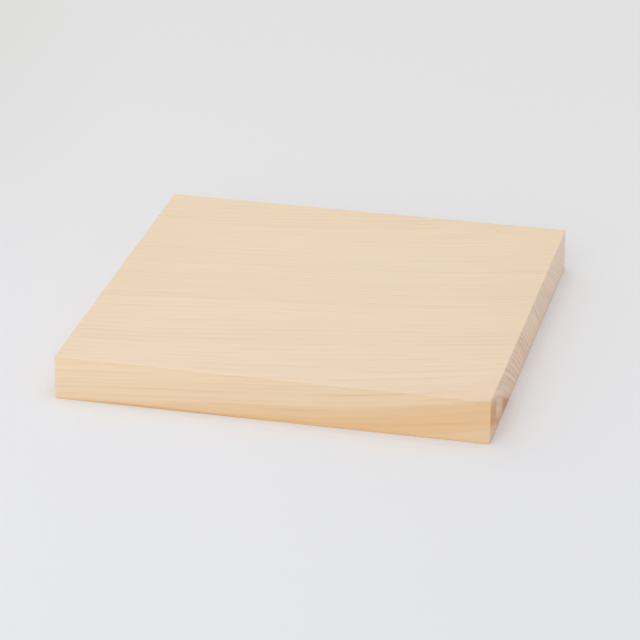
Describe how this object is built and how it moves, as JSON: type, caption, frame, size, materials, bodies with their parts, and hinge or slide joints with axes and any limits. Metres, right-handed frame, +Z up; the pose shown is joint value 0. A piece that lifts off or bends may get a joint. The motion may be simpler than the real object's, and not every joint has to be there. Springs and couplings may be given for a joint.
{
  "type": "cutting board",
  "caption": "Square, plain cutting board of solid pale softwood with flat faces, square sides and lightly eased edges.",
  "frame": {"origin": "centre of the underside", "axes": "+Z up, out of the cutting face; +X along the grain, from the left end to the right end; +Y across the grain, from the front edge to the back edge"},
  "size_m": [0.29, 0.29, 0.03],
  "materials": {
    "bare_softwood": "planed and sanded bare softwood, matt, fine straight growth lines, darker pinkish end grain"
  },
  "bodies": {
    "root": {"board": "bare_softwood"}
  },
  "joints": []
}
